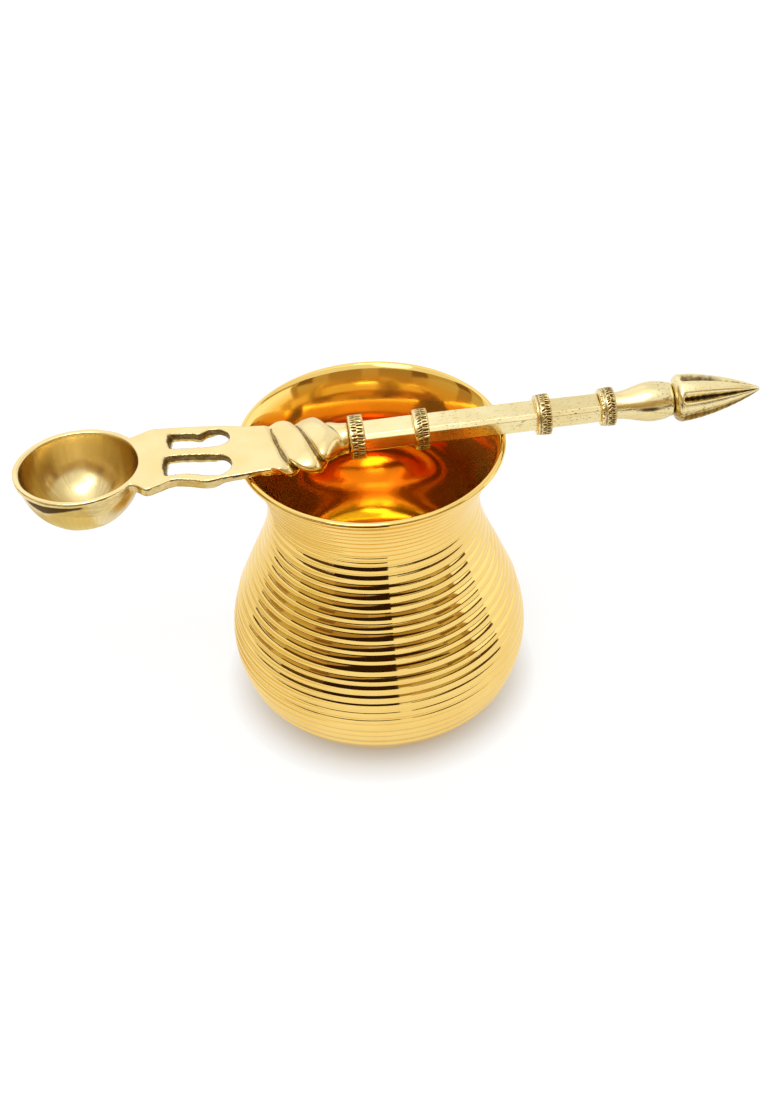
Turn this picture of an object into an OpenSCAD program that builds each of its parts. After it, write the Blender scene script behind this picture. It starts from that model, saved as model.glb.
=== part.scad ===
// Panchpatra set: a spun brass water vessel with turned ribs, and the brass
// spoon that lies across its mouth. The vessel stands on the origin, +Z up.
// The spoon runs along X a little in front of the vessel's axis, bowl towards -X, bud towards +X.
// Sizes are in millimetres.

/* [Vessel] */
// Height from the flat base to the top of the lip
vessel_h = 76.2; // [70:0.2:90]
// Outer radius of the lip
rim_r = 32.2; // [29:0.1:38]
// Outer radius at the narrowest part of the neck
neck_r = 25.6; // [22:0.2:27]
// Height of the narrowest part of the neck
neck_z = 58; // [50:0.5:64]
// Outer radius at the widest part of the belly
belly_r = 36.7; // [32:0.1:44]
// Height of the widest part of the belly
belly_z = 19.4; // [15:0.2:26]
// Radius of the flat base
base_r = 25.4; // [20:0.2:30]
// Thickness of the spun wall
vessel_wall = 1.2; // [0.8:0.1:2]
// Thickness of the floor
floor_t = 1.6; // [1:0.1:3]
// Diameter of the bead rolled along the lip
lip_bead_d = 1.6; // [1.4:0.1:2.6]

/* [Ribs] */
// Number of turned ribs from the foot up to the neck
rib_count = 21; // [14:1:26]
// Number of finer ribs from the neck up to the lip
neck_rib_count = 9; // [5:1:12]
// How far a rib stands out from the groove beside it
rib_h = 0.35; // [0.2:0.05:0.6]
// The same for the finer ribs
neck_rib_h = 0.2; // [0.1:0.05:0.4]
// Height of the lowest groove
rib_low_z = 6.4; // [4:0.2:12]
// Plain band between the top groove and the lip's top
rib_lip_gap = 3.8; // [3:0.2:10]

/* [Ladle] */
// Outer length of the bowl's rim
bowl_d = 31; // [26:0.5:36]
// Outer width of the bowl's rim
bowl_w = 28.5; // [24:0.5:36]
// Outer depth of the bowl below its rim
bowl_depth = 16; // [13:0.1:20]
// Width of the bowl's rim, seen from above
bowl_rim_w = 1.9; // [1.6:0.1:3]
// Height of the band that the rim forms
bowl_rim_t = 1.6; // [1:0.1:2.4]
// How far that band stands out from the body under it
bowl_rim_out = 1; // [0.4:0.1:1.2]
// Thickness of the bowl's bottom
bowl_floor_t = 1.6; // [1:0.1:3]
// Thickness of the pierced neck
neck_plate_t = 2; // [1.6:0.1:3]
// Distance from the bowl's centre to the start of the twist
neck_len = 44.9; // [42:0.5:55]
// Half width of the neck at its shoulders beside the bowl
neck_shoulder_w = 11.2; // [10:0.1:13]
// Half width of the neck at the slots
neck_slot_w = 10.4; // [10:0.1:12]
// Half width of the neck where the twist starts
neck_end_w = 8.3; // [7.5:0.1:10]
// Width of the bar left between the two slots
slot_bar_w = 2.7; // [2:0.1:4]
// Length of a slot
slot_len = 15.6; // [10:0.2:18]
// Width of a slot
slot_w = 6; // [4:0.2:6.4]
// Distance from the slots to the start of the twist
slot_setback = 9.3; // [6:0.1:12]
// Length of the twisted stretch
twist_len = 19; // [15:0.5:26]
// Length along the spoon in which the two ridges turn once around
twist_pitch = 13.4; // [10:0.2:20]
// Half thickness of the twist at its fullest
twist_full_t = 4.3; // [3.6:0.1:5.5]
// Height of the twisted ridges, as a share of the section
twist_ridge = 0.24; // [0.1:0.01:0.3]
// Diameter of the round root where the ladle meets the handle
root_d = 7.4; // [6.6:0.1:8.6]

/* [Handle] */
// Where the rod's bowl-side shoulder lies, measured from the vessel's axis
rod_start = -1.7; // [-6:0.1:6]
// Length of the eight-sided stretch of the rod
rod_len = 56.4; // [50:0.2:64]
// Width of the rod
rod_w = 7.2; // [6.6:0.1:8]
// Height of the rod
rod_h = 5; // [4.8:0.1:6]
// Corner cut that makes the bar eight-sided
rod_chamfer = 1.2; // [0.8:0.05:1.6]
// Diameter of the round spigots at the rod's two ends
spigot_d = 4.2; // [3.4:0.1:4.6]
// Depth of the spigots in the ladle's root and in the bud
spigot_seat = 7; // [5:0.5:9]
// Clearance of the brazed fits, on each side
braze_gap = 0.05; // [0.02:0.01:0.1]

/* [Collars] */
// Diameter of the root collar over its knurls
root_collar_d = 10.6; // [9.4:0.1:12]
// Diameter of the two collars on the rod over their knurls
rod_collar_d = 9.8; // [9.4:0.1:12]
// Diameter of the end collar over its knurls
end_collar_d = 9.3; // [8.6:0.1:12]
// Width of a collar
collar_w = 3.6; // [3:0.1:4.6]
// Depth of the knurling
knurl_h = 0.35; // [0.2:0.05:0.5]
// Number of knurls round a collar
knurl_count = 24; // [16:2:32]
// Centre of the inner collar, from the rod's bowl-side shoulder
inner_collar_at = 13.5; // [8:0.5:20]
// Centre of the outer collar, from the rod's bowl-side shoulder
outer_collar_at = 42.7; // [30:0.5:46]

/* [Finial] */
// Length of the baluster
baluster_len = 14.2; // [10:0.2:16]
// Diameter of the baluster at the end collar
baluster_small_d = 6.4; // [5.8:0.1:7.4]
// Diameter of the baluster at its fullest
baluster_full_d = 9.6; // [8:0.1:11]
// Diameter of the waist between the baluster and the bud
waist_d = 6.1; // [5.6:0.1:7]
// Length of the bud
bud_len = 21.2; // [18:0.2:28]
// Diameter of the bud at its shoulder
bud_d = 11.4; // [10:0.1:14]
// Number of petals
petal_count = 6; // [5:1:8]
// Depth of the grooves between petals, as a share of the radius
petal_groove = 0.34; // [0.2:0.01:0.4]

/* [Rest] */
// How far in front of the vessel's axis the spoon lies
spoon_front = 1.2; // [0:0.1:6]
// Gap between the spoon and the lip that it lies on
seat_gap = 0.2; // [0.1:0.05:0.4]
// Sides of a full circle
$fn = 96; // [48:8:128]

/* [Hidden] */

// Stations along the spoon, measured from the vessel's axis
root_end = rod_start - collar_w;
twist_start = root_end - twist_len;
bowl_at = twist_start - neck_len;
rod_end = rod_start + rod_len;
baluster_at = rod_end + collar_w;
bud_at = baluster_at + baluster_len;

// How far a cut reaches past the face that it opens
hole_lead = 0.5;

// The spoon rests on the lip: the neck's underside on one side, the rod's on the other
lip_r = rim_r - lip_bead_d / 2;
tilt = atan((rod_h - neck_plate_t) / 2 / (2 * lip_r));
seat_z = vessel_h + seat_gap + (rod_h + neck_plate_t) / 4;

// Eased step from 0 to 1
function ease(u) = let (v = max(0, min(1, u))) v * v * (3 - 2 * v);
function mix(a, b, u) = a + (b - a) * u;

// Points along a path of [position, value] pairs, eased from one pair to the next
function eased_path(keys, steps) = [
    for (k = [0 : len(keys) - 2], i = [0 : steps - 1])
        [mix(keys[k][0], keys[k + 1][0], i / steps), mix(keys[k][1], keys[k + 1][1], ease(i / steps))],
    keys[len(keys) - 1]
];

// Outside of the vessel's wall at height z, under the ribs: a quarter ellipse up to the
// belly, an S up to the neck, and a flare that opens towards the lip
flare_power = 1.7;
function wall_r(z) =
    z < belly_z ? base_r + (belly_r - base_r) * sqrt(max(0, 1 - pow(1 - z / belly_z, 2)))
    : z < neck_z ? mix(belly_r, neck_r, ease((z - belly_z) / (neck_z - belly_z)))
    : mix(neck_r, lip_r, pow((z - neck_z) / (lip_z - neck_z), flare_power));
lip_z = vessel_h - lip_bead_d / 2;

// Each rib is a rounded ridge between two sharp grooves. Ribs fill a stretch of the wall.
rib_steps = 4;
function rib_points(from, to, count, height) = [
    for (i = [0 : count * rib_steps - 1])
        let (z = mix(from, to, i / count / rib_steps))
        [wall_r(z) + height * abs(sin(180 * i / rib_steps)), z]
];

// Point of the inner wall opposite height z, one wall thickness along the normal.
// Above the neck the wall thins out to half the bead, so that it runs into the bead's middle.
slope_step = 0.05;
function wall_t(z) = mix(vessel_wall, lip_bead_d / 2, ease((z - neck_z) / (lip_z - neck_z)));
function inner_point(z) =
    let (slope = (wall_r(z + slope_step) - wall_r(z - slope_step)) / (2 * slope_step),
        across = wall_t(z) / sqrt(1 + slope * slope))
    [wall_r(z) - across, z + across * slope];

module vessel_profile() {
    base_arc = [for (a = [0 : 10 : 60]) belly_z * (1 - cos(a))];
    below = [for (z = base_arc) if (z < rib_low_z) [wall_r(z), z]];
    rib_top_z = vessel_h - rib_lip_gap;
    ribs = concat(rib_points(rib_low_z, neck_z, rib_count, rib_h),
        rib_points(neck_z, rib_top_z, neck_rib_count, neck_rib_h));
    lip = [for (i = [0 : 2]) let (z = mix(rib_top_z, lip_z, i / 2)) [wall_r(z), z]];
    inside = [for (i = [0 : 24])
        let (p = inner_point(mix(lip_z - slope_step, floor_t, i / 24))) if (p.y > floor_t) p];
    last = inside[len(inside) - 1];
    polygon(concat([[0, 0]], below, ribs, lip, inside, [[last.x - floor_t, floor_t], [0, floor_t]]));
    translate([lip_r, lip_z]) circle(d = lip_bead_d);
}

module vessel() color("gold") rotate_extrude() vessel_profile();

// Puts a piece of the spoon, drawn along X, on the vessel's lip
module on_rim() translate([0, -spoon_front, seat_z]) rotate([0, -tilt, 0]) children();

// Solid through rings of points with equal counts, closed by a fan of triangles at both ends.
// A ring runs counterclockwise seen from +X.
function middle(ring) = [for (p = ring) 1 / len(ring)] * ring;
module loft(rings) {
    n = len(rings[0]);
    last = len(rings) - 1;
    hub = n * len(rings);
    sides = [for (i = [0 : last - 1], j = [0 : n - 1])
        let (a = i * n + j, b = i * n + (j + 1) % n)
            each [[a, a + n, b], [b, a + n, b + n]]];
    ends = [for (j = [0 : n - 1])
        let (k = (j + 1) % n) each [[hub, j, k], [hub + 1, last * n + k, last * n + j]]];
    polyhedron(concat([for (r = rings) each r], [middle(rings[0]), middle(rings[last])]),
        concat(sides, ends));
}

// Twist: the neck's flat section swells into a round one while two ridges wind around it.
// The points of a ring turn with the ridges, so that each ridge is a clean edge.
// The first ring lies inside the neck, a little smaller than it, and the rest grows out of it.
twist_root = 0.6;
twist_inset = 0.06;
ridge_skew = 1.3;
twist_sides = 40;
twist_rings = 26;
side_step = 360 / twist_sides;
function full(c) = max(-1, min(1, c * sqrt(2)));
function twist_ring(u) =
    let (turn = 360 * u * twist_len / twist_pitch - side_step,
        half_w = mix(neck_end_w - twist_inset, root_d / 2, ease((u - 0.5) / 0.5)),
        half_t = u < 0.6 ? mix(neck_plate_t / 2 - twist_inset, twist_full_t, ease(u / 0.6))
            : mix(twist_full_t, root_d / 2, ease((u - 0.6) / 0.4)),
        round_share = ease(u / 0.45),
        ridge = twist_ridge * ease(u / 0.12) * ease((1 - u) / 0.2))
    [for (j = [0 : twist_sides - 1])
        let (a = turn + j * side_step,
            lobe = pow(sin(180 * pow(((j * side_step) % 180) / 180, ridge_skew)), 0.7),
            swell = 1 + ridge * (lobe - 0.6))
        [twist_start + u * twist_len,
            half_w * swell * mix(full(cos(a)), cos(a), round_share),
            half_t * swell * mix(full(sin(a)), sin(a), round_share)]];

module twist()
    loft([for (i = [0 : twist_rings]) twist_ring(mix(-twist_root / twist_len, 1, i / twist_rings))]);

// Half widths along the neck, from under the bowl to the twist
bowl_end = bowl_at + bowl_d / 2;
shoulder_step = bowl_d / 16;
neck_keys = [
    [bowl_at, neck_shoulder_w - 2 * shoulder_step],
    [bowl_end - shoulder_step, neck_shoulder_w - shoulder_step],
    [bowl_end + shoulder_step, neck_shoulder_w],
    [bowl_end + 3.5 * shoulder_step, neck_slot_w - shoulder_step / 4],
    [twist_start - slot_setback - slot_len / 3, neck_slot_w],
    [twist_start, neck_end_w]
];

module neck_outline() {
    edge = eased_path(neck_keys, 4);
    polygon(concat(edge, [for (i = [len(edge) - 1 : -1 : 0]) [edge[i].x, -edge[i].y]]));
}

// One slot: straight sides, a round end towards the twist and a square end towards the bowl
module slot() {
    translate([0, -slot_w / 2]) square([slot_len - slot_w / 2, slot_w]);
    translate([slot_len - slot_w / 2, 0]) circle(d = slot_w);
}

module neck_slots()
    for (side = [-1, 1])
        translate([twist_start - slot_setback - slot_len, side * (slot_bar_w + slot_w) / 2]) slot();

// A quarter ellipse from the rim's level at radius r down to depth d on the axis
bowl_steps = 16;
function bowl_arc(r, d) =
    [for (i = [0 : bowl_steps]) let (a = 90 * i / bowl_steps) [r * cos(a), -d * sin(a)]];

module bowl() scale([1, bowl_w / bowl_d, 1]) rotate_extrude() {
    polygon(concat([[0, 0]], bowl_arc(bowl_d / 2 - bowl_rim_out, bowl_depth)));
    translate([0, -bowl_rim_t]) square([bowl_d / 2, bowl_rim_t]);
}

module bowl_hollow() scale([1, bowl_w / bowl_d, 1]) rotate_extrude()
    polygon(concat([[0, hole_lead], [bowl_d / 2 - bowl_rim_w, hole_lead]],
        bowl_arc(bowl_d / 2 - bowl_rim_w, bowl_depth - bowl_floor_t)));

module at_bowl() translate([bowl_at, 0, neck_plate_t / 2]) children();

module ladle_solid() {
    at_bowl() bowl();
    translate([0, 0, -neck_plate_t / 2]) linear_extrude(neck_plate_t) difference() {
        neck_outline();
        neck_slots();
    }
    twist();
}

module ladle() color("khaki") on_rim() difference() {
    ladle_solid();
    at_bowl() bowl_hollow();
    spigot_hole(root_end, -spigot_seat);
}

// Hole for a spigot: from a seam at x, len deep towards +X or, if negative, towards -X
module spigot_hole(x, len) {
    from = min(x, x + len) - (len > 0 ? hole_lead : braze_gap);
    to = max(x, x + len) + (len > 0 ? braze_gap : hole_lead);
    translate([from, 0, 0]) rotate([0, 90, 0]) cylinder(d = spigot_d + 2 * braze_gap, h = to - from);
}

// Section of the rod: a flat bar with its corners cut off, grown by gap on every side
module rod_section(gap) {
    w = rod_w / 2 + gap;
    h = rod_h / 2 + gap;
    c = rod_chamfer + gap * (2 - sqrt(2));
    polygon([[w - c, h], [c - w, h], [-w, h - c], [-w, c - h], [c - w, -h], [w - c, -h],
        [w, c - h], [w, h - c]]);
}

module along_x(x, len) translate([x, 0, 0]) rotate([90, 0, 90]) linear_extrude(len) children();

module handle_rod() color("darkkhaki") on_rim() {
    along_x(rod_start, rod_len) rod_section(0);
    along_x(root_end - spigot_seat, spigot_seat + collar_w + rod_len / 2) circle(d = spigot_d);
    along_x(rod_end - rod_len / 2, rod_len / 2 + bud_at - rod_end + spigot_seat) circle(d = spigot_d);
}

// Knurled ring: two halves whose knurls lean opposite ways and meet in a chevron
knurl_lean = 12;
module collar_half(d) linear_extrude(collar_w / 2, twist = knurl_lean, slices = 3) polygon([
    for (i = [0 : 2 * knurl_count - 1])
        let (a = 180 * i / knurl_count, r = d / 2 - (i % 2) * knurl_h) r * [cos(a), sin(a)]]);

module collar_blank(x, d) translate([x, 0, 0]) rotate([90, 0, 90]) {
    collar_half(d);
    mirror([0, 0, 1]) collar_half(d);
}

// A collar threaded on a spigot, with its face towards the bowl at x
module spigot_collar(x, d) on_rim() difference() {
    collar_blank(x + collar_w / 2, d);
    spigot_hole(x - hole_lead, collar_w + 2 * hole_lead);
}

// A collar slid along the rod, with its middle at x
module rod_collar(x) on_rim() difference() {
    collar_blank(x, rod_collar_d);
    along_x(x - collar_w, 2 * collar_w) rod_section(braze_gap);
}

module root_collar() color("peru") spigot_collar(root_end, root_collar_d);
module inner_collar() color("peru") rod_collar(rod_start + inner_collar_at);
module outer_collar() color("peru") rod_collar(rod_start + outer_collar_at);
module end_collar() color("peru") spigot_collar(rod_end, end_collar_d);

// Baluster: swells along an eased line, then rounds in to the waist
baluster_full_at = 0.65;
function baluster_r(v) = v < baluster_full_at
    ? mix(baluster_small_d, baluster_full_d, ease(v / baluster_full_at)) / 2
    : let (w = (v - baluster_full_at) / (1 - baluster_full_at))
        mix(waist_d, baluster_full_d, sqrt(max(0, 1 - w * w))) / 2;

module baluster() color("darkkhaki") on_rim() difference() {
    translate([baluster_at, 0, 0]) rotate([0, 90, 0]) rotate_extrude() polygon(concat([[0, 0]],
        [for (i = [0 : 20]) [baluster_r(i / 20), baluster_len * i / 20]], [[0, baluster_len]]));
    spigot_hole(baluster_at - hole_lead, baluster_len + 2 * hole_lead);
}

// Bud: a pointed drop with a round shoulder, parted into petals by deep grooves
bud_sides = 8 * petal_count;
bud_rings = 18;
bud_shoulder = 0.14;
bud_tip_r = 0.35;
petal_turn = 13;
function bud_r(v) = v < bud_shoulder
    ? mix(waist_d, bud_d, sqrt(1 - pow(1 - v / bud_shoulder, 2))) / 2
    : mix(bud_tip_r, bud_d / 2, pow(1 - pow((v - bud_shoulder) / (1 - bud_shoulder), 1.6), 0.9));
function bud_ring(v) =
    let (deep = petal_groove * ease((v - bud_shoulder) / 0.1) * (v < 1 ? 1 : 0))
    [for (j = [0 : bud_sides - 1])
        let (a = 360 * j / bud_sides,
            r = bud_r(v) * (1 - deep * (1 - pow(abs(sin(180 * petal_count * j / bud_sides)), 0.6))))
        [bud_at + v * bud_len, r * cos(a + petal_turn), r * sin(a + petal_turn)]];

module bud_finial() color("khaki") on_rim() difference() {
    loft([for (i = [0 : bud_rings]) bud_ring(i / bud_rings)]);
    spigot_hole(bud_at, spigot_seat);
}

vessel();
ladle();
handle_rod();
root_collar();
inner_collar();
outer_collar();
end_collar();
baluster();
bud_finial();
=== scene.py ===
# %% [markdown]
# # A brass panchpatra and its spoon
#
# A panchpatra is the water cup of a household ritual. This one is spun from thin brass sheet, with turned
# ribs all over its wall, and the spoon that ladles the water lies across its mouth. The solids of both come
# in as a fixed frame. This lesson dresses them: every piece is a surface worked out with numpy, and gets a
# brass of its own.

# %% The frame
import math

import bpy
import numpy as np
from mathutils import Matrix, Vector


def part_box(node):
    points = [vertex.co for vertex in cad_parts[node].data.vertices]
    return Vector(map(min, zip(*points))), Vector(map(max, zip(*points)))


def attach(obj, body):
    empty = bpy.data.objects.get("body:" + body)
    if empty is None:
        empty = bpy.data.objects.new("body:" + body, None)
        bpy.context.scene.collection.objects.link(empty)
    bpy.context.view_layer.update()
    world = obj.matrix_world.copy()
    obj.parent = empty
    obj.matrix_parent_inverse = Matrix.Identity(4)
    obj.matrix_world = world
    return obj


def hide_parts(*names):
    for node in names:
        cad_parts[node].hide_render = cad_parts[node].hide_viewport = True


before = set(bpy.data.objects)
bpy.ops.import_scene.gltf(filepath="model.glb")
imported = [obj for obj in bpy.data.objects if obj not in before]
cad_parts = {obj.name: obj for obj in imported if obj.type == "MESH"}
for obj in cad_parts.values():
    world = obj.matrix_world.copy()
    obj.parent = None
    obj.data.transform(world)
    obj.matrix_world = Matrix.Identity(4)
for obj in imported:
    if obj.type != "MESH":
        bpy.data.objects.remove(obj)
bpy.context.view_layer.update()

MM = 0.001
print("pieces in the frame:", ", ".join(sorted(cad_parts)))

# %% [markdown]
# ## The camera
#
# The camera comes first, because it decides which details are worth their polygons. The two ellipses of the
# cup, the lip's and the base's, give its height above the table and its distance. The picture is tilted by a
# little more than two degrees, so the camera is rolled about its own line of sight.

# %% Camera at the photograph's place
IMAGE_W = 780
FOCAL_PX = 2000
CAMERA_TURN = math.radians(-5.17)
CAMERA_RISE = math.radians(40.83)
CAMERA_ROLL = math.radians(-2.35)
CAMERA_FAR = 0.5
CUP_MIDDLE = Vector((0, 0, 0.0383))
AIM_RIGHT, AIM_UP = 0.00343, 0.00128

back = Vector((math.sin(CAMERA_TURN) * math.cos(CAMERA_RISE),
               -math.cos(CAMERA_TURN) * math.cos(CAMERA_RISE), math.sin(CAMERA_RISE)))
level = Matrix.Rotation(CAMERA_ROLL, 3, "Z")
facing = back.to_track_quat("Z", "Y").to_matrix()
eye = CUP_MIDDLE + CAMERA_FAR * back
aim = CUP_MIDDLE + facing @ level @ Vector((AIM_RIGHT, AIM_UP, 0))
turned = (eye - aim).to_track_quat("Z", "Y").to_matrix() @ level


def add_object(name, data):
    """A new object at the origin, linked into the scene."""
    made = bpy.data.objects.new(name, data)
    bpy.context.scene.collection.objects.link(made)
    return made


camera = add_object("camera", bpy.data.cameras.new("camera"))
camera.data.sensor_fit = "HORIZONTAL"
camera.data.lens = camera.data.sensor_width * FOCAL_PX / IMAGE_W
camera.data.clip_start = 0.01
camera.matrix_world = Matrix.Translation(eye) @ turned.to_4x4()
bpy.context.scene.camera = camera
bpy.context.scene.view_settings.view_transform = "Standard"
print("camera at", [round(x, 3) for x in eye], "lens", round(camera.data.lens, 1), "mm")

# %% [markdown]
# ## From arrays to meshes
#
# Nearly every piece here is a stack of rings: the cup's rings grow and shrink along its height, and those of
# the spoon's handle along its length. One function joins the rings with quads and closes both ends. The sign
# of the volume tells whether the faces look outwards, so that no ring order has to be remembered.
#
# A second function feels for hollows. It lets every point drift to the middle of its neighbours for some
# rounds: a point in a groove drifts out, and one on a ridge drifts in. The drift along the normal is kept on
# the mesh as an attribute, and the materials read it to put tarnish in the grooves.

# %% Rings
def ring_faces(rings, sides, closed=False):
    """Quads between neighbouring rings. Closed joins the last ring to the first, as round a hoop."""
    i = np.arange(rings if closed else rings - 1)[:, None]
    j = np.arange(sides)[None, :]
    below, above = i * sides, (i + 1) % rings * sides
    right = (j + 1) % sides
    return np.stack([below + j, below + right, above + right, above + j], -1).reshape(-1, 4)


def stack(rings, closed=False):
    """Points and faces of a solid through rings of shape (rings, sides, 3), in millimetres.
    An open stack is closed by a fan of triangles round the middle of its first and of its last ring."""
    count, sides = rings.shape[:2]
    points = rings.reshape(-1, 3)
    faces = ring_faces(count, sides, closed)
    if not closed:
        hub = len(points)
        points = np.concatenate([points, [rings[0].mean(0), rings[-1].mean(0)]])
        j = np.arange(sides)
        right = (j + 1) % sides
        top = (count - 1) * sides
        first = np.stack([np.full(sides, hub), right, j, j], -1)
        last = np.stack([np.full(sides, hub + 1), top + j, top + right, top + right], -1)
        faces = np.concatenate([faces, first, last])
    a, b, c, d = (points[faces[:, k]] for k in range(4))
    volume = (np.cross(a, b) * c).sum() + (np.cross(a, c) * d).sum()
    return points, faces if volume > 0 else faces[:, ::-1]


# %% Drift
def point_normals(points, faces):
    """Unit normals at the points: the sum of the crossed diagonals of the faces around each."""
    a, b, c, d = (points[faces[:, k]] for k in range(4))
    across = np.cross(c - a, d - b)
    total = np.zeros_like(points)
    for k in range(4):
        np.add.at(total, faces[:, k], across)
    return total / np.maximum(np.linalg.norm(total, axis=1, keepdims=True), 1e-12)


def drift_edges(faces):
    """Each edge of the faces once, as pairs of point numbers."""
    pairs = np.concatenate([faces[:, [k, (k + 1) % 4]] for k in range(4)])
    pairs = np.unique(np.sort(pairs, axis=1), axis=0)
    return pairs[pairs[:, 0] != pairs[:, 1]]


def drift(points, edges, rounds, step=1.0):
    """Every point moves by step towards the middle of its neighbours, for so many rounds."""
    count = np.bincount(edges.ravel(), minlength=len(points))[:, None]
    for _ in range(rounds):
        total = np.zeros_like(points)
        np.add.at(total, edges[:, 0], points[edges[:, 1]])
        np.add.at(total, edges[:, 1], points[edges[:, 0]])
        points = points + step * (total / np.maximum(count, 1) - points)
    return points


def hollow(points, faces, rounds, depth):
    """How far a point lies in a groove, in depths: the outward part of its drift. Ridges are negative."""
    moved = drift(points, drift_edges(faces), rounds) - points
    return np.clip((moved * point_normals(points, faces)).sum(1) / depth, -1, 1)


# %% Pieces
def new_mesh(name, points, faces):
    """A mesh through points. A quad that names a point twice becomes a triangle."""
    mesh = bpy.data.meshes.new(name)
    mesh.from_pydata(points.tolist(), [], [list(dict.fromkeys(face)) for face in faces.tolist()])
    return mesh


def make_piece(name, points, faces, body, node, slot, material, **fields):
    """A finished piece from points in millimetres, in place of a node of the frame.
    Each further array is stored as an attribute of the points."""
    mesh = new_mesh(name, points * MM, faces)
    mesh.polygons.foreach_set("use_smooth", np.ones(len(mesh.polygons), bool))
    for field, values in fields.items():
        kind, key = ("FLOAT", "value") if values.ndim == 1 else ("FLOAT_VECTOR", "vector")
        stored = mesh.attributes.new(field, kind, "POINT")
        stored.data.foreach_set(key, values.astype(np.float32).ravel())
    mesh.materials.append(material)
    piece = add_object(name, mesh)
    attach(piece, body)
    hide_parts(node)
    print(f"{name}: {len(mesh.vertices)} points, {len(mesh.polygons)} faces")


# %% [markdown]
# ## Small helpers for shapes
#
# Soft steps and hand-made unevenness come back on every piece. The unevenness is a sum of a few sine waves
# with fixed phases: it never changes between runs, and it has no grain of its own that could show as noise.

# %% Steps and waver
def ease(u):
    """Smooth step from 0 to 1: three u squared minus two u cubed, held at both ends."""
    u = np.clip(u, 0, 1)
    return u * u * (3 - 2 * u)


def mix(a, b, u):
    """Share u of the way from a to b."""
    return a + (b - a) * u


def full_turn(sides):
    """Angles of so many sides once round, in radians."""
    return np.linspace(0, 2 * math.pi, sides, endpoint=False)


def along_keys(x, keys):
    """Value at x on a smooth path through (place, value) pairs: a cubic between two pairs.
    The slope at a pair comes from its two neighbours."""
    places, values = np.array(keys, float).T
    slopes = np.gradient(values, places)
    k = np.clip(np.searchsorted(places, x) - 1, 0, len(places) - 2)
    gap = places[k + 1] - places[k]
    u = np.clip((x - places[k]) / gap, 0, 1)
    bend = gap * u * (1 - u) * ((1 - u) * slopes[k] - u * slopes[k + 1])
    return mix(values[k], values[k + 1], ease(u)) + bend


def waver(x, y, z, length, seed):
    """Smooth unevenness between about -1 and 1: five sine waves in fixed pseudo-random directions.
    Their wavelengths lie around the given length."""
    rng = np.random.default_rng(seed)
    total = 0.0
    for _ in range(5):
        way = rng.normal(size=3)
        way *= 2 * math.pi / length * rng.uniform(0.7, 1.4) / np.linalg.norm(way)
        total = total + np.sin(way[0] * x + way[1] * y + way[2] * z + rng.uniform(0, 2 * math.pi))
    return total / 3


# %% [markdown]
# ## Brass
#
# Four finishes of one metal. The cup is buffed to a mirror. The ladle is a sand casting that was filed and
# brushed by hand: paler, satin, with fine scratches along it and old brass in the bowl. The rod and the
# turned end are the same but worn, with pits that the buffing wheel didn't reach. The collars are struck
# with a chisel and keep tarnish in every cut. Where a piece is aged, pitted or tarnished is worked out from
# its own shape and kept on its points as attributes, which the materials read.
#
# Metal has almost no colour of its own beyond what it reflects, so the base colour stays close to what the
# metal shows under white light, and roughness and bump do the rest. Some colour is painted light, though:
# the orange and the yellow pool inside the cup, the shade under the ladle's rim and at the two ends of its
# bowl, and the shaded underside and a reflected dark crescent on the baluster.

# %% Node helpers
def add_node(tree, kind, settings=None, **sockets):
    """A new node. A socket takes a plain value, or is linked where another node's output is given."""
    made = tree.nodes.new(kind)
    for name, value in (settings or {}).items():
        setattr(made, name, value)
    for name, value in sockets.items():
        key = int(name[1:]) if name[1:].isdigit() else name.replace("_", " ")
        if isinstance(value, bpy.types.NodeSocket):
            tree.links.new(value, made.inputs[key])
        else:
            made.inputs[key].default_value = value
    return made


def new_metal(name):
    """An empty material with a metallic shader. Returns material, tree, shader and place in millimetres."""
    material = bpy.data.materials.new(name)
    material.use_nodes = True
    tree = material.node_tree
    shader = tree.nodes["Principled BSDF"]
    shader.inputs["Metallic"].default_value = 1
    place = add_node(tree, "ShaderNodeTexCoord").outputs["Object"]
    scaled = add_node(tree, "ShaderNodeVectorMath", {"operation": "SCALE"}, Vector=place, Scale=1 / MM)
    return material, tree, shader, scaled.outputs["Vector"]


def noise(tree, place, scale, detail=3.0, stretch=(1, 1, 1)):
    """Noise between 0 and 1 with about scale features per millimetre, stretched along the axes."""
    mapped = add_node(tree, "ShaderNodeMapping", Vector=place, Scale=stretch)
    made = add_node(tree, "ShaderNodeTexNoise", Vector=mapped.outputs[0], Scale=scale, Detail=detail)
    return made.outputs["Fac"]


def span(tree, value, low, high, out_low=0.0, out_high=1.0):
    """The value's stretch from low to high, eased, carried over to another stretch."""
    made = add_node(tree, "ShaderNodeMapRange", {"interpolation_type": "SMOOTHSTEP"}, Value=value,
                    From_Min=low, From_Max=high, To_Min=out_low, To_Max=out_high)
    return made.outputs["Result"]


def math_node(tree, operation, a, b):
    """Two numbers added, multiplied, or the larger of them."""
    return add_node(tree, "ShaderNodeMath", {"operation": operation}, _0=a, _1=b).outputs[0]


def blend(tree, share, a, b):
    """Colour a, turning to colour b as share goes from 0 to 1."""
    made = add_node(tree, "ShaderNodeMix", {"data_type": "RGBA"}, _0=share, _6=a, _7=b)
    return made.outputs[2]


def attribute(tree, name, output="Fac"):
    """A field that a piece keeps on its points."""
    return add_node(tree, "ShaderNodeAttribute", {"attribute_name": name}).outputs[output]


# %% Mirror brass of the cup
CLOUD_LOW, CLOUD_HIGH = 0.3, 0.7
BUFFED, BUFFED_DEEP = (0.90, 0.64, 0.20, 1), (0.87, 0.595, 0.17, 1)
# Inside the cup the colour is painted light: orange for light bounced between the walls, yellow for a pool of
# light.
BOUNCE_ORANGE, LIGHT_POOL_YELLOW = (0.88, 0.24, 0.005, 1), (0.92, 0.71, 0.09, 1)
MIRROR_ROUGH, MIRROR_DULL, INSIDE_DULLER = 0.06, 0.09, 0.02
INSIDE_METAL = 0.86
BUMP_DEEP = 0.1 * MM


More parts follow.
